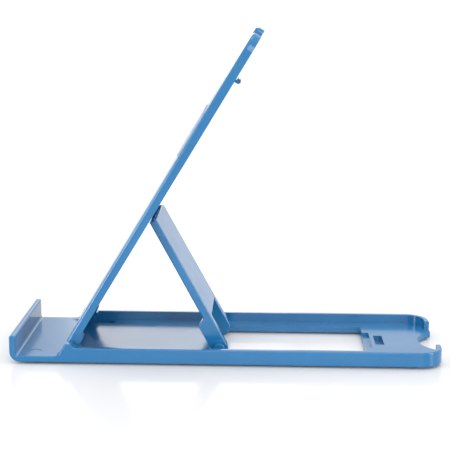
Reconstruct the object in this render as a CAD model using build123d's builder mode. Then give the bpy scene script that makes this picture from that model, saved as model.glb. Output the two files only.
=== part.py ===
from build123d import *
import math
import os

# Folding tablet stand: a shallow base tray, a back plate hinged at its front and a prop leg that
# pivots in the base's window and leans forward against the rear of the back plate.
# Millimetres. X runs from the front lip (-X) to the open rear end (+X), Z is up and z = 0 is the
# table. The origin is the middle of the footprint.

# --- driving dimensions ---------------------------------------------------------------------
length = 190.0
width = 63.0
foot_height = 0.9             # rubber feet lift the base off the table
foot_radius = 3.5
feet_from_lip = 11.5
feet_from_rear = 12.5
feet_from_side = 6.2
rail_height = 7.6             # heights are above the table
rail_thick = 2.2
floor_top = 3.65
rear_corner = 10.0
edge_round = 0.6

lip_height = 12.75
lip_thick = 2.7
lip_foot_fillet = 1.0
lip_heel_radius = 4.6
lip_round = 0.9
lip_flat = 0.4                # level underside of the lip, behind its rounded heel

# The distances named *_from_lip are measured from the lip's outer face.
ramp_foot_from_lip = 18.4
ramp_lead = 1.0               # level stretch of the side view ahead of the ramp
ramp_curve = ((21.5, 4.4), (22.9, 6.4), (24.1, 8.7))  # from the lip, and above the table
hump_start_from_lip = 25.4
hump_end_from_lip = 26.5
hump_foot_from_lip = 29.1
ear_end_from_lip = 31.0
ear_height = 9.3
hinge_from_lip = 26.75
hinge_z = 4.35
pivot_from_lip = 91.7
pivot_z = 4.4

plate_angle = 59.0            # above the table, at rest
prop_angle = 118.95           # from +X, at rest: the leg leans forward
plate_thick = 3.9
plate_rear = 0.5              # from the hinge axis to the plate's rear face
plate_skin = 1.0
plate_rim = 2.2
plate_length = 160.6          # from the hinge axis to the plate's top edge
plate_corner = 7.5
plate_side_start = 8.2        # the plate's side strips stop short of the hinge
plate_side_slant = 1.2        # and end further up at the rear
plate_side_gap = 0.4
plate_front_round = 1.4
plate_foot_reach = 0.9        # the plate's foot stands this far ahead of the hinge axis
plate_foot_overlap = 4.0      # and runs this far into the plate's body
tab_reach = 2.4
tab_width = 30.0
tab_corner = 1.5
rear_opening = 37.0           # in the base's rear wall, for the tab

hollow_start = 12.5           # the plate's rear is hollow from here to its rim
hollow_corner = 1.0
rest_angles = (66, 59, 52, 45, 38)  # of the plate, one rung of its ladder for each
ladder_half = 12.0
ladder_wall = 1.4
rung_thick = 1.6
rung_gap = 0.8                # from the leg's tip to the rung behind it
side_ribs = (32, 48, 92, 110, 128, 146)  # along the plate, from the hinge axis
side_rib_thick = 1.0
side_rib_height = 1.3

knuckle_outer = 5.4           # from the base's side to the knuckle's outer face
knuckle_width = 3.3
knuckle_radius = 2.9
knuckle_front_start = 0.6
knuckle_fairing = ((9.75, 0.5), (8.6, -1.05), (3.2, -1.45), (1.3, -2.6))  # in the plate's side view
hinge_pin_radius = 1.6
hinge_pin_length = 2.6
slot_outer = 5.1
slot_width = 3.9
slot_front_reach = 3.6
slot_rear_reach = 12.8
pin_clearance = 0.05
pin_end_gap = 0.1

prop_length = 64.9
prop_width = 38.6
prop_back = 4.0               # from the pivot to the leg's rear-upper face, and the foot's radius
prop_front_root = 0.3         # from the pivot to the thin part's front face, at the feet
prop_front_tip = 0.6          # the same at the tip
prop_edge_round = 0.7
prop_tip_round = 0.5
prop_tip_rear_round = 1.5
foot_front = 3.2
foot_length = 13.4
foot_slant = 2.0
leg_width = 4.4
leg_notch = 14.2
leg_notch_corner = 1.0
prop_pin_radius = 1.3
prop_pin_length = 2.9
prop_ear_radius = 3.0
prop_ear_width = 2.9
prop_hole_depth = 2.0
window_half = 20.4
window_front_reach = 4.3      # ahead of the prop's pivot
window_end_from_lip = 157.6
window_corner = 0.6

recess_length = 3.0           # nail recess behind the window
recess_width = 23.4
recess_depth = 1.4
mark_from_lip = 10.0          # round mark of one of the mould's ejector pins in the tray
mark_from_side = 7.6
mark_radius = 3.1
mark_depth = 0.12
latch_from_lip = 164.4
latch_length = 4.0
latch_width = 14.2
latch_floor = 1.4             # height of the latch pocket's thin floor
hook_start = 137.1            # along the plate, from the hinge axis
hook_neck = 1.3
hook_outline = ((0, 2.1), (0.5, 2.8), (1.3, 2.95), (2.0, 2.6), (2.3, 1.9), (2.1, 1.35), (1.3, 1.1))
hook_width = 11.0             # its outline runs along the plate, and out of its rear face
notch_radius = 17.0
notch_reach = 7.8

pad_start = 98.0
pad_end = 120.0
pad_width = 40.0
pad_thick = 0.8
pad_corner = 3.0
pad_edge_round = 0.25

core_depth = 1.2              # shallow pockets under the base
core_corner = 1.0
front_core_from_lip = 48.6    # middle of the pockets ahead of the window
front_core_length = 16.7
front_core_width = 11.7
front_core_rib = 1.5
rear_core_from_lip = 173.8    # middle of the pockets behind it
rear_core_length = 11.0
rear_core_width = 15.0
rear_core_rib = 2.0

overshoot = 1.0               # shapes that only cut or trim run this far past the base

# --- places worked out from them ------------------------------------------------------------
half_length = length / 2
half_width = width / 2
underside = Plane.XY.offset(foot_height)
hinge_x = hinge_from_lip - half_length
pivot_x = pivot_from_lip - half_length
window_front = pivot_x - window_front_reach
window_end = window_end_from_lip - half_length
plate_half = half_width - rail_thick - plate_side_gap
plate_front = plate_rear + plate_thick
hollow_depth = plate_thick - plate_skin
skin_inside = plate_rear + hollow_depth
axis_distance = pivot_from_lip - hinge_from_lip
lip_end = lip_heel_radius + lip_flat

cos_plate = math.cos(math.radians(plate_angle))
sin_plate = math.sin(math.radians(plate_angle))
cos_prop = math.cos(math.radians(prop_angle))
sin_prop = math.sin(math.radians(prop_angle))

# Side planes look along +Y: local x runs up the piece from its axis. On the plate's, local y
# points out of its front face; on the leg's, out of its front face too, which is underneath.
plate_side = Plane(origin=(hinge_x, 0, hinge_z), x_dir=(cos_plate, 0, sin_plate), z_dir=(0, -1, 0))
plate_flat = Plane(origin=(hinge_x, 0, hinge_z), x_dir=(cos_plate, 0, sin_plate),
                   z_dir=(-sin_plate, 0, cos_plate))
plate_out = Axis(plate_flat.origin, plate_flat.z_dir)
prop_side = Plane(origin=(pivot_x, 0, pivot_z), x_dir=(cos_prop, 0, sin_prop), z_dir=(0, -1, 0))
prop_flat = Plane(origin=(pivot_x, 0, pivot_z), x_dir=(cos_prop, 0, sin_prop),
                  z_dir=(-sin_prop, 0, cos_prop))


def from_lip(distance):
    """The x of a place given by its distance behind the lip's outer face."""
    return distance - half_length


def across(side, inset, span):
    """Y centre of a band that starts `inset` inside one side of the base and is `span` wide."""
    return side * (half_width - inset - span / 2)


def side_profile():
    """The rail seen from the side: tray edge, S-shaped ramp, ear hump, and the level top."""
    foot = from_lip(ramp_foot_from_lip)
    front = foot - ramp_lead
    hump_start = from_lip(hump_start_from_lip)
    hump_end = from_lip(hump_end_from_lip)
    hump_foot = from_lip(hump_foot_from_lip)
    ramp = [(from_lip(distance), height) for distance, height in ramp_curve]
    with BuildLine() as outline:
        Polyline((front, foot_height), (front, floor_top), (foot, floor_top))
        Spline((foot, floor_top), *ramp, (hump_start, ear_height), tangents=((1, 0), (1, 0)))
        Line((hump_start, ear_height), (hump_end, ear_height))
        Spline((hump_end, ear_height), ((hump_end + hump_foot) / 2, (ear_height + rail_height) / 2),
               (hump_foot, rail_height), tangents=((1, 0), (1, 0)))
        Polyline((hump_foot, rail_height), (half_length, rail_height), (half_length, foot_height),
                 (front, foot_height))
    return outline.line


# --- base -----------------------------------------------------------------------------------
with BuildPart() as base:
    # Footprint, as tall as the ear humps; the side view then trims it.
    with BuildSketch(underside):
        Rectangle(length, width)
    extrude(amount=ear_height - foot_height)
    fillet(base.edges().filter_by(Axis.Z).group_by(Axis.X)[-1], radius=rear_corner)

    # Trough between the rails, following the rounded rear corners.
    with BuildSketch(Plane.XY.offset(floor_top)):
        with Locations((-rail_thick / 2, 0)):
            Rectangle(length - rail_thick, width - 2 * rail_thick)
        fillet(vertices().group_by(Axis.X)[-1], radius=rear_corner - rail_thick)
    extrude(amount=ear_height, mode=Mode.SUBTRACT)

    # The rails' side view: everything above it goes, over the whole width.
    with BuildSketch(Plane.XZ.offset(-half_width - overshoot)):
        with BuildLine():
            add(side_profile())
        make_face()
        with Locations((from_lip((ramp_foot_from_lip + lip_end) / 2), (foot_height + floor_top) / 2)):
            Rectangle(ramp_foot_from_lip - lip_end, floor_top - foot_height)
    extrude(amount=width + 2 * overshoot, mode=Mode.INTERSECT)

    # Front lip: rounded heel and top, and a fillet where its inner face meets the tray.
    heel_top = foot_height + lip_heel_radius
    with BuildSketch(Plane.XZ.offset(-half_width)):
        with BuildLine():
            Polyline((from_lip(lip_thick + lip_foot_fillet), floor_top), (from_lip(lip_end), floor_top),
                     (from_lip(lip_end), foot_height), (from_lip(lip_heel_radius), foot_height))
            RadiusArc((from_lip(lip_heel_radius), foot_height), (from_lip(0), heel_top), lip_heel_radius)
            Line((from_lip(0), heel_top), (from_lip(0), lip_height - lip_round))
            RadiusArc((from_lip(0), lip_height - lip_round), (from_lip(lip_round), lip_height), lip_round)
            Line((from_lip(lip_round), lip_height), (from_lip(lip_thick - lip_round), lip_height))
            RadiusArc((from_lip(lip_thick - lip_round), lip_height),
                      (from_lip(lip_thick), lip_height - lip_round), lip_round)
            Line((from_lip(lip_thick), lip_height - lip_round),
                 (from_lip(lip_thick), floor_top + lip_foot_fillet))
            RadiusArc((from_lip(lip_thick), floor_top + lip_foot_fillet),
                      (from_lip(lip_thick + lip_foot_fillet), floor_top), -lip_foot_fillet)
        make_face()
    extrude(amount=width)

    # Round ejector mark in the tray.
    with BuildSketch(Plane.XY.offset(floor_top)):
        with Locations((from_lip(mark_from_lip), mark_from_side - half_width)):
            Circle(mark_radius)
    extrude(amount=-mark_depth, mode=Mode.SUBTRACT)

    # Hinge ears beside the rails: the blind holes in them hold the plate's pins.
    for side in (-1, 1):
        with BuildSketch(Plane.XZ.offset(-across(side, rail_thick, slot_outer - rail_thick)
                                         - (slot_outer - rail_thick) / 2)):
            with BuildLine():
                add(side_profile())
            make_face()
            with Locations((from_lip(ear_end_from_lip) + half_length, ear_height / 2)):
                Rectangle(length, ear_height + 2 * overshoot, mode=Mode.SUBTRACT)
        extrude(amount=slot_outer - rail_thick)

    # Slots that the knuckles turn in.
    for side in (-1, 1):
        slot_length = slot_front_reach + slot_rear_reach
        with BuildSketch(underside):
            with Locations((hinge_x - slot_front_reach + slot_length / 2,
                            across(side, slot_outer, slot_width))):
                Rectangle(slot_length, slot_width)
        extrude(amount=floor_top, mode=Mode.SUBTRACT)

    # Blind holes for the hinge pins.
    pin_depth = hinge_pin_length - (knuckle_outer - slot_outer) + pin_end_gap
    for side in (-1, 1):
        hole_centre = across(side, slot_outer - pin_depth, pin_depth)
        with BuildSketch(Plane.XZ.offset(-hole_centre - pin_depth / 2)):
            with Locations((hinge_x, hinge_z)):
                Circle(hinge_pin_radius + pin_clearance)
        extrude(amount=pin_depth, mode=Mode.SUBTRACT)

    # Window for the prop leg.
    with BuildSketch(underside):
        with Locations(((window_front + window_end) / 2, 0)):
            RectangleRounded(window_end - window_front, 2 * window_half, window_corner)
    extrude(amount=ear_height, mode=Mode.SUBTRACT)

    # Round ears on the window's ledges: blind holes in them hold the prop leg's pins.
    for side in (-1, 1):
        ear_centre = side * (window_half + prop_ear_width / 2)
        with BuildSketch(Plane.XZ.offset(-ear_centre - prop_ear_width / 2)):
            with Locations((pivot_x, pivot_z)):
                Circle(prop_ear_radius)
            with Locations((pivot_x, pivot_z / 2 + floor_top / 4)):
                Rectangle(2 * prop_ear_radius, pivot_z - floor_top / 2)
        extrude(amount=prop_ear_width)
    for side in (-1, 1):
        hole_centre = side * (window_half + prop_hole_depth / 2)
        with BuildSketch(Plane.XZ.offset(-hole_centre - prop_hole_depth / 2)):
            with Locations((pivot_x, pivot_z)):
                Circle(prop_pin_radius + pin_clearance)
        extrude(amount=prop_hole_depth, mode=Mode.SUBTRACT)

    # Nail recess that opens into the window, and the latch pocket behind it.
    with BuildSketch(Plane.XY.offset(floor_top)):
        with Locations((window_end, 0)):
            Rectangle(2 * recess_length, recess_width)
    extrude(amount=-recess_depth, mode=Mode.SUBTRACT)
    with BuildSketch(Plane.XY.offset(latch_floor)):
        with Locations((from_lip(latch_from_lip), 0)):
            Rectangle(latch_length, latch_width)
    extrude(amount=floor_top, mode=Mode.SUBTRACT)

    # Finger notch in the rear edge, and the opening in the rear wall above it.
    with BuildSketch(underside):
        with Locations((half_length - notch_reach + notch_radius, 0)):
            Circle(notch_radius)
    extrude(amount=ear_height, mode=Mode.SUBTRACT)
    with BuildSketch(Plane.XY.offset(floor_top)):
        with Locations((half_length, 0)):
            Rectangle(3 * rail_thick, rear_opening)
    extrude(amount=ear_height, mode=Mode.SUBTRACT)

    # Cored underside: shallow pockets between ribs, ahead of the window and behind it.
    with BuildSketch(underside):
        with Locations((from_lip(front_core_from_lip), 0)):
            with GridLocations(front_core_length + front_core_rib, front_core_width + front_core_rib, 4, 3):
                RectangleRounded(front_core_length, front_core_width, core_corner)
        with Locations((from_lip(rear_core_from_lip), 0)):
            with GridLocations(rear_core_length, rear_core_width + rear_core_rib, 1, 2):
                RectangleRounded(rear_core_length, rear_core_width, core_corner)
    extrude(amount=core_depth, mode=Mode.SUBTRACT)

    # Soft edges all round both sides; they run on round the rear corners.
    for place in (0, -1):
        side_face = base.faces().filter_by(Plane.XZ).sort_by(Axis.Y)[place]
        fillet(side_face.outer_wire().edges(), radius=edge_round)

base.part.label = "base"

# --- back plate -----------------------------------------------------------------------------
with BuildPart() as back_plate:
    # Outline with the end tab that passes through the opening in the base's rear wall.
    with BuildSketch(plate_flat.offset(plate_rear)):
        body_length = plate_length - plate_side_start
        with Locations((plate_side_start + body_length / 2, 0)):
            Rectangle(body_length, 2 * plate_half)
        fillet(vertices().group_by(Axis.X)[-1], radius=plate_corner)
        tab_length = plate_corner + tab_reach
        with Locations((plate_length + tab_reach - tab_length / 2, 0)):
            RectangleRounded(tab_length, tab_width, tab_corner)
    extrude(amount=plate_thick)
    with BuildSketch(plate_side.offset(-half_width)):
        with BuildLine():
            Polyline((plate_side_start, plate_front), (plate_side_start + plate_side_slant, plate_rear),
                     (plate_side_start, plate_rear), close=True)
        make_face()
    extrude(amount=width, mode=Mode.SUBTRACT)

    # Foot of the plate, between the knuckles' outer faces.
    foot_end = plate_side_start + plate_foot_overlap
    knuckle_half = half_width - knuckle_outer
    with BuildSketch(plate_flat.offset(plate_rear)):
        with Locations(((foot_end - plate_foot_reach) / 2, 0)):
            Rectangle(foot_end + plate_foot_reach, 2 * knuckle_half)
    extrude(amount=plate_thick)

    # Hollow rear behind a thin front skin.
    with BuildSketch(plate_flat.offset(plate_rear)):
        hollow_length = plate_length - plate_rim - hollow_start
        with Locations((hollow_start + hollow_length / 2, 0)):
            Rectangle(hollow_length, 2 * (plate_half - plate_rim))
        fillet(vertices().group_by(Axis.X)[-1], radius=plate_corner - plate_rim)
        fillet(vertices().group_by(Axis.X)[0], radius=hollow_corner)
    extrude(amount=hollow_depth, mode=Mode.SUBTRACT)

    # Ladder that the prop leg's tip rests against, one rung for each angle.
    with BuildSketch(plate_flat.offset(plate_rear)):
        for side in (-1, 1):
            with Locations((hollow_start + hollow_length / 2, side * (ladder_half + ladder_wall / 2))):
                Rectangle(hollow_length, ladder_wall)
        for angle in rest_angles:
            tip_place = 2 * axis_distance * math.cos(math.radians(angle))
            with Locations((tip_place + rung_gap + rung_thick / 2, 0)):
                Rectangle(rung_thick, 2 * ladder_half)
    extrude(amount=hollow_depth)

    # Low stiffening ribs outside the ladder, clear of the leg's feet.
    with BuildSketch(plate_flat.offset(skin_inside - side_rib_height)):
        rib_length = plate_half - plate_rim - ladder_half - ladder_wall
        for side in (-1, 1):
            for place in side_ribs:
                with Locations((place, side * (ladder_half + ladder_wall + rib_length / 2))):
                    Rectangle(side_rib_thick, rib_length)
    extrude(amount=side_rib_height)

    # Knuckles: a barrel on the hinge axis, a fairing up the rear face, and the moulded-on pin.
    for side in (-1, 1):
        knuckle_centre = across(side, knuckle_outer, knuckle_width)
        with BuildSketch(plate_side.offset(-knuckle_centre - knuckle_width / 2)):
            Circle(knuckle_radius)
            with BuildLine():
                Polyline((knuckle_front_start, plate_front), (hollow_start, plate_front),
                         (hollow_start, plate_rear), *knuckle_fairing, (0, -knuckle_radius),
                         (-knuckle_radius, 0), close=True)
            make_face()
        extrude(amount=knuckle_width)
        pin_centre = across(side, knuckle_outer - hinge_pin_length, hinge_pin_length)
        with BuildSketch(plate_side.offset(-pin_centre - hinge_pin_length / 2)):
            Circle(hinge_pin_radius)
        extrude(amount=hinge_pin_length)

    # Latch hook that drops into the pocket behind the window when the stand is folded.
    with BuildSketch(plate_side.offset(-hook_width / 2)):
        with BuildLine():
            Polyline(*[(hook_start + along, plate_rear - out) for along, out in hook_outline],
                     (hook_start + hook_neck, skin_inside), (hook_start, skin_inside), close=True)
        make_face()
    extrude(amount=hook_width)

    # Soft edges on the front face.
    front_edges = back_plate.faces().sort_by(plate_out)[-1].outer_wire().edges()
    fillet(front_edges, radius=plate_front_round)

back_plate.part.label = "back_plate"

# --- prop leg -------------------------------------------------------------------------------
with BuildPart() as prop_leg:
    # Flat leg, tapering in thickness towards its tip.
    prop_half = prop_width / 2
    with BuildSketch(prop_side.offset(-prop_half)):
        with BuildLine():
            Polyline((0, -prop_back), (prop_length, -prop_back), (prop_length, -prop_front_tip),
                     (foot_length, -prop_front_root), (0, -prop_front_root), close=True)
        make_face()
    extrude(amount=prop_width)

    # Notch between the two feet.
    with BuildSketch(prop_flat.offset(-prop_back)):
        notch_length = leg_notch + prop_back
        with Locations((leg_notch - notch_length / 2, 0)):
            RectangleRounded(notch_length, prop_width - 2 * leg_width, leg_notch_corner)
    extrude(amount=prop_back, mode=Mode.SUBTRACT)

    # Thick feet, round about the pivot, with a slanted step up from the leg's front face.
    heel = -math.sqrt(prop_back**2 - foot_front**2)
    for side in (-1, 1):
        leg_middle = side * (prop_half - leg_width / 2)
        with BuildSketch(prop_side.offset(-leg_middle - leg_width / 2)):
            with BuildLine():
                Polyline((0, -prop_back), (foot_length + foot_slant, -prop_back),
                         (foot_length + foot_slant, -prop_front_root), (foot_length, foot_front),
                         (heel, foot_front))
                ThreePointArc((heel, foot_front), (-prop_back, 0), (0, -prop_back))
            make_face()
        extrude(amount=leg_width)

    # Rounded tip, and soft edges down both sides of the rear face and on round the heels.
    fillet(prop_leg.edges().filter_by(Axis.Y).sort_by(Axis.X)[0], radius=prop_tip_round)
    fillet(prop_leg.edges().filter_by(Axis.Y).sort_by(Axis.Z)[-1], radius=prop_tip_rear_round)
    rear_face = prop_leg.faces().sort_by(Axis(prop_flat.origin, prop_flat.z_dir))[0]
    fillet(rear_face.edges().filter_by(Axis(prop_flat.origin, prop_flat.x_dir)), radius=prop_edge_round)

    # Pivot pins, moulded on the feet's outer faces.
    for side in (-1, 1):
        pin_middle = side * (prop_half + prop_pin_length / 2)
        with BuildSketch(prop_side.offset(-pin_middle - prop_pin_length / 2)):
            Circle(prop_pin_radius)
        extrude(amount=prop_pin_length)

prop_leg.part.label = "prop_leg"

# --- anti-slip pad on the plate's front face ------------------------------------------------
with BuildPart() as grip_pad:
    with BuildSketch(plate_flat.offset(plate_front)):
        with Locations(((pad_start + pad_end) / 2, 0)):
            RectangleRounded(pad_end - pad_start, pad_width, pad_corner)
    extrude(amount=pad_thick)
    fillet(grip_pad.faces().sort_by(plate_out)[-1].edges(), radius=pad_edge_round)

grip_pad.part.label = "grip_pad"

# --- rubber feet under the base -------------------------------------------------------------
with BuildPart() as feet:
    with BuildSketch():
        for place in (from_lip(feet_from_lip), half_length - feet_from_rear):
            for side in (-1, 1):
                with Locations((place, side * (half_width - feet_from_side))):
                    Circle(foot_radius)
    extrude(amount=foot_height)

feet.part.label = "feet"

os.makedirs("parts", exist_ok=True)
export_step(base.part, "parts/base.step")
export_step(feet.part, "parts/feet.step")
export_step(back_plate.part, "parts/back_plate.step")
export_step(prop_leg.part, "parts/prop_leg.step")
export_step(grip_pad.part, "parts/grip_pad.step")
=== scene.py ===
"""Looks of the folding tablet stand: glossy moulded plastic on a white table, in studio light."""
import math

import bpy
from mathutils import Matrix, Vector

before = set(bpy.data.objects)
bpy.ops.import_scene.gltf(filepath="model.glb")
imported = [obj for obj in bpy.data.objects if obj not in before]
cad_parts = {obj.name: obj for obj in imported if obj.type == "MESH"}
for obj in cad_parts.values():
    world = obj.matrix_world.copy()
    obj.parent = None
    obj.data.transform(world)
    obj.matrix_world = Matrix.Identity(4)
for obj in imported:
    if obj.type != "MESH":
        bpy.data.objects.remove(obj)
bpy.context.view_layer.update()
scene = bpy.context.scene

# --- camera ---------------------------------------------------------------------------------
# Metres, in the stand's own frame: X from the lip to the rear, Z up.
CAMERA_PLACE = Vector((0.01402, -0.5185, 0.16143))
CAMERA_YAW = -0.0301         # radians, positive turns the view towards +X
CAMERA_DIP = 0.1988          # radians below the horizon
CAMERA_ROLL = 0.0052         # radians, positive raises the camera's right side
CAMERA_LENS_MM = 93.41
CAMERA_SENSOR_MM = 36.0
CAMERA_REACH = (0.01, 80.0)  # nearest and furthest that the camera sees


def add_camera():
    """The camera at the reference viewing angle: its place, yaw, dip and roll."""
    forward = Vector((math.sin(CAMERA_YAW) * math.cos(CAMERA_DIP),
                      math.cos(CAMERA_YAW) * math.cos(CAMERA_DIP), -math.sin(CAMERA_DIP)))
    right = Vector((math.cos(CAMERA_YAW), -math.sin(CAMERA_YAW), 0.0))
    up = right.cross(forward)
    turned_right = math.cos(CAMERA_ROLL) * right + math.sin(CAMERA_ROLL) * up
    turned_up = math.cos(CAMERA_ROLL) * up - math.sin(CAMERA_ROLL) * right
    turn = Matrix((turned_right, turned_up, -forward)).transposed().to_4x4()
    data = bpy.data.cameras.new("camera")
    data.lens = CAMERA_LENS_MM
    data.sensor_width = CAMERA_SENSOR_MM
    data.clip_start, data.clip_end = CAMERA_REACH
    camera = bpy.data.objects.new("camera", data)
    camera.matrix_world = Matrix.Translation(CAMERA_PLACE) @ turn
    scene.collection.objects.link(camera)
    scene.camera = camera


add_camera()


# --- materials ------------------------------------------------------------------------------
# Colours are linear. Scales of noise are bumps to the metre, and heights of bumps are metres.
BLUE_DARK = (0.010, 0.121, 0.285, 1)
BLUE_LIGHT = (0.012, 0.131, 0.302, 1)
BLUE_CLOUDS = 45.0           # slow drift of the colour
BLUE_SMEARS = 130.0          # patches of duller and brighter gloss
BLUE_WAVES = 60.0            # waviness of the moulded faces
BLUE_WAVE_HEIGHT = 0.0002
BLUE_IOR = 1.52

PAD_DARK = (0.36, 0.43, 0.52, 1)
PAD_LIGHT = (0.50, 0.56, 0.64, 1)
PAD_GRAIN = 2600.0
PAD_GRAIN_HEIGHT = 0.0001

FOOT_DARK = (0.010, 0.010, 0.012, 1)
FOOT_LIGHT = (0.035, 0.035, 0.038, 1)
FOOT_DUST = 900.0
FOOT_DUST_HEIGHT = 0.00005

TABLE_COLOUR = (0.64, 0.64, 0.65, 1)
TABLE_ROUGHNESS = 0.14
TABLE_IOR = 1.2


def new_material(name):
    """An empty node material: its nodes, its links and its shader."""
    material = bpy.data.materials.new(name)
    material.use_nodes = True
    tree = material.node_tree
    shader = tree.nodes["Principled BSDF"]
    return material, tree, shader


def noise(tree, scale, detail=3.0, roughness=0.5):
    """A noise texture on object coordinates."""
    places = tree.nodes.new("ShaderNodeTexCoord")
    texture = tree.nodes.new("ShaderNodeTexNoise")
    texture.inputs["Scale"].default_value = scale
    texture.inputs["Detail"].default_value = detail
    texture.inputs["Roughness"].default_value = roughness
    tree.links.new(places.outputs["Object"], texture.inputs["Vector"])
    return texture


def remap(tree, source, low, high, to_low, to_high):
    """Maps a texture's value from low..high to to_low..to_high."""
    mapped = tree.nodes.new("ShaderNodeMapRange")
    mapped.inputs["From Min"].default_value = low
    mapped.inputs["From Max"].default_value = high
    mapped.inputs["To Min"].default_value = to_low
    mapped.inputs["To Max"].default_value = to_high
    tree.links.new(source, mapped.inputs["Value"])
    return mapped.outputs["Result"]


def two_tone(tree, source, dark, light, low=0.0, high=1.0):
    """A colour that runs from dark to light as the texture's value goes from low to high."""
    ramp = tree.nodes.new("ShaderNodeValToRGB")
    for stop, place, colour in zip(ramp.color_ramp.elements, (low, high), (dark, light)):
        stop.position = place
        stop.color = colour
    tree.links.new(source, ramp.inputs["Fac"])
    return ramp.outputs["Color"]


def bump(tree, source, strength, distance):
    """A bump of the given height in metres."""
    node = tree.nodes.new("ShaderNodeBump")
    node.inputs["Strength"].default_value = strength
    node.inputs["Distance"].default_value = distance
    tree.links.new(source, node.inputs["Height"])
    return node.outputs["Normal"]


def blue_plastic():
    """Glossy sky-blue ABS: slightly uneven colour and gloss, and the faint waviness of a moulding."""
    material, tree, shader = new_material("blue_abs")
    clouds = noise(tree, BLUE_CLOUDS, 2.0).outputs["Fac"]
    tree.links.new(two_tone(tree, clouds, BLUE_DARK, BLUE_LIGHT, 0.35, 0.65), shader.inputs["Base Color"])
    smears = noise(tree, BLUE_SMEARS, 4.0, 0.6).outputs["Fac"]
    tree.links.new(remap(tree, smears, 0.3, 0.7, 0.14, 0.22), shader.inputs["Roughness"])
    waves = noise(tree, BLUE_WAVES, 1.0).outputs["Fac"]
    tree.links.new(bump(tree, waves, 0.25, BLUE_WAVE_HEIGHT), shader.inputs["Normal"])
    shader.inputs["IOR"].default_value = BLUE_IOR
    return material


def grey_rubber():
    """Matt grey anti-slip pad with a fine pebbled face."""
    material, tree, shader = new_material("grip_pad")
    grain = noise(tree, PAD_GRAIN, 2.0).outputs["Fac"]
    tree.links.new(two_tone(tree, grain, PAD_DARK, PAD_LIGHT), shader.inputs["Base Color"])
    tree.links.new(remap(tree, grain, 0.3, 0.7, 0.55, 0.7), shader.inputs["Roughness"])
    tree.links.new(bump(tree, grain, 0.5, PAD_GRAIN_HEIGHT), shader.inputs["Normal"])
    return material


def black_rubber():
    """Matt black rubber of the feet, slightly dusty."""
    material, tree, shader = new_material("foot_rubber")
    dust = noise(tree, FOOT_DUST, 3.0).outputs["Fac"]
    tree.links.new(two_tone(tree, dust, FOOT_DARK, FOOT_LIGHT), shader.inputs["Base Color"])
    tree.links.new(remap(tree, dust, 0.3, 0.7, 0.6, 0.8), shader.inputs["Roughness"])
    tree.links.new(bump(tree, dust, 0.3, FOOT_DUST_HEIGHT), shader.inputs["Normal"])
    return material


def table_top():
    """White glossy table, not part of the object."""
    material, _, shader = new_material("table")
    shader.inputs["Base Color"].default_value = TABLE_COLOUR
    shader.inputs["Roughness"].default_value = TABLE_ROUGHNESS
    shader.inputs["IOR"].default_value = TABLE_IOR
    return material


def dress(names, material):
    """Gives each CAD node its one material."""
    for name in names:
        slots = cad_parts[name].data.materials
        slots.clear()
        slots.append(material)


dress(("base", "back_plate", "prop_leg"), blue_plastic())
dress(("grip_pad",), grey_rubber())
dress(("feet",), black_rubber())


# --- stage ----------------------------------------------------------------------------------
FLOOR_REACH = 30.0           # metres each way: far larger than the view
WORLD_AT_HORIZON = 1.18      # strengths of the light all round
WORLD_OVERHEAD = 1.55
WORLD_IN_FRONT = 0.6         # of its strength behind the stand
WORLD_DIMS_FROM = 0.2        # y of the directions where the dimming towards the front starts


def add_floor():
    """A plain pale floor."""
    mesh = bpy.data.meshes.new("floor")
    corners = [(side * FLOOR_REACH, end * FLOOR_REACH, 0)
               for side, end in ((-1, -1), (1, -1), (1, 1), (-1, 1))]
    mesh.from_pydata(corners, [], [(0, 1, 2, 3)])
    floor = bpy.data.objects.new("floor", mesh)
    scene.collection.objects.link(floor)
    mesh.materials.append(table_top())


add_floor()


def add_softbox(name, place, target, size, watts):
    """A rectangular area light at `place`, aimed at `target`."""
    data = bpy.data.lights.new(name, "AREA")
    data.shape = "RECTANGLE"
    data.size, data.size_y = size
    data.energy = watts
    light = bpy.data.objects.new(name, data)
    light.location = place
    light.rotation_euler = (Vector(target) - Vector(place)).to_track_quat("-Z", "Y").to_euler()
    scene.collection.objects.link(light)


add_softbox("front", (0.15, -1.3, 0.5), (0, 0, 0.03), (0.8, 0.6), 6.0)
add_softbox("overhead", (0.05, 0.0, 1.2), (0, 0, 0.03), (0.5, 0.5), 1.6)
add_softbox("left", (-0.9, -0.5, 0.2), (0, 0, 0.03), (0.3, 0.4), 5.5)
add_softbox("right", (0.9, -0.5, 0.2), (0, 0, 0.03), (0.3, 0.4), 5.0)
add_softbox("behind", (-0.09, 1.0, 0.36), (-0.02, 0, 0), (0.30, 0.56), 0.55)


def add_world():
    """A white studio, brighter overhead than at the horizon and dimmer in front of the stand."""
    world = bpy.data.worlds.new("studio")
    world.use_nodes = True
    tree = world.node_tree
    places = tree.nodes.new("ShaderNodeTexCoord")
    parts = tree.nodes.new("ShaderNodeSeparateXYZ")
    tree.links.new(places.outputs["Generated"], parts.inputs["Vector"])
    by_height = remap(tree, parts.outputs["Z"], 0.0, 1.0, WORLD_AT_HORIZON, WORLD_OVERHEAD)
    by_side = remap(tree, parts.outputs["Y"], -1.0, WORLD_DIMS_FROM, WORLD_IN_FRONT, 1.0)
    strength = tree.nodes.new("ShaderNodeMath")
    strength.operation = "MULTIPLY"
    tree.links.new(by_height, strength.inputs[0])
    tree.links.new(by_side, strength.inputs[1])
    tree.links.new(strength.outputs["Value"], tree.nodes["Background"].inputs["Strength"])
    tree.nodes["Background"].inputs["Color"].default_value = (1.0, 1.0, 1.0, 1)
    scene.world = world


add_world()
scene.view_settings.view_transform = "Standard"
scene.view_settings.look = "None"
